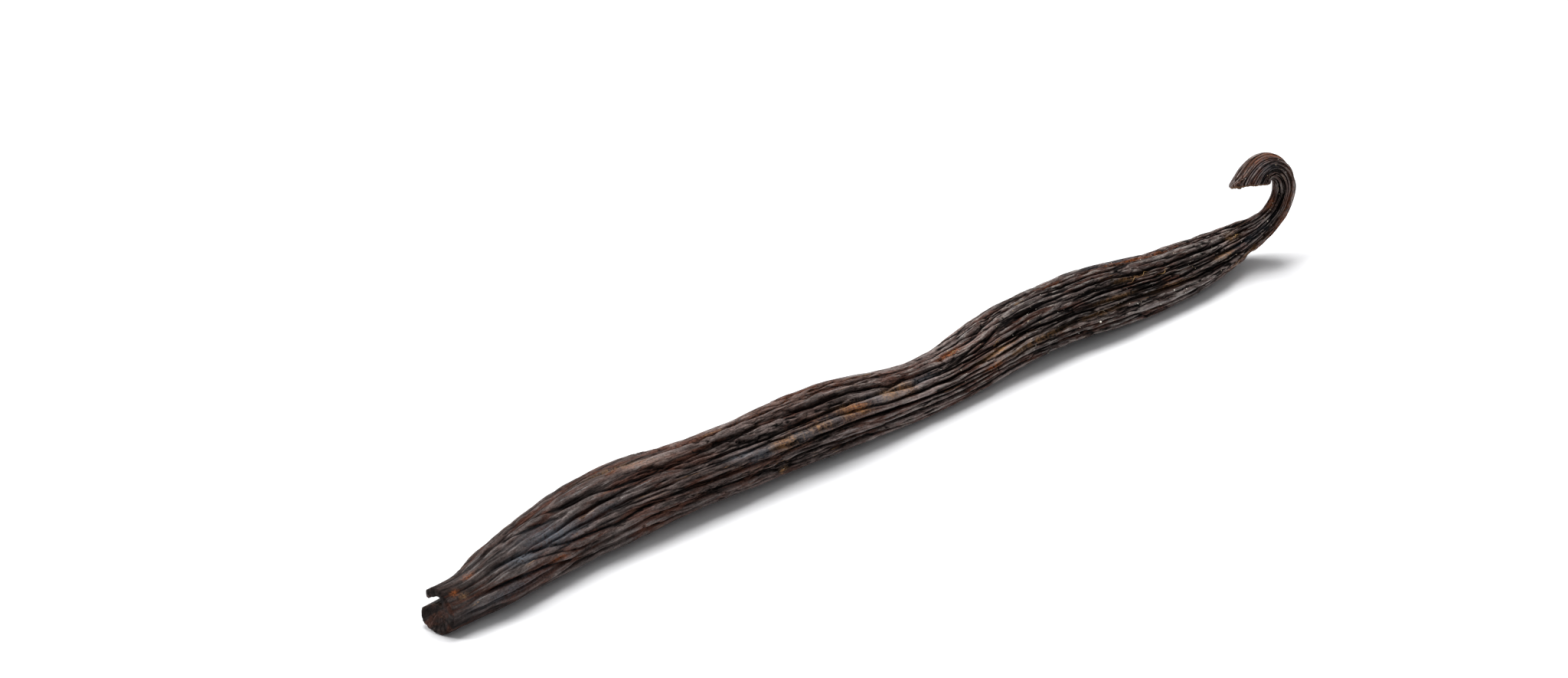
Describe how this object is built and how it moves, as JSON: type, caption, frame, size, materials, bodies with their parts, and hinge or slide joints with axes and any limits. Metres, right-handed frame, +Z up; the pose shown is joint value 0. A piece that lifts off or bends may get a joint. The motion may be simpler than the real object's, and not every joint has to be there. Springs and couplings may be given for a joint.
{
  "type": "vanilla bean",
  "caption": "Cured vanilla bean: a slender, dark, lengthwise-furrowed pod with a blunt split blossom end and a curled hook at the stem end.",
  "frame": {"origin": "middle of the pod's box, on the surface that it lies on", "axes": "+X along the pod from its blossom end to its hooked stem end, +Y across the pod to the left as seen from the blossom end, +Z up"},
  "size_m": [0.1494, 0.0138, 0.015],
  "materials": {
    "pod_skin": "dark oily brown, satin, with near-black furrows and reddish ridges"
  },
  "bodies": {
    "root": {"pod": "pod_skin"}
  },
  "joints": []
}
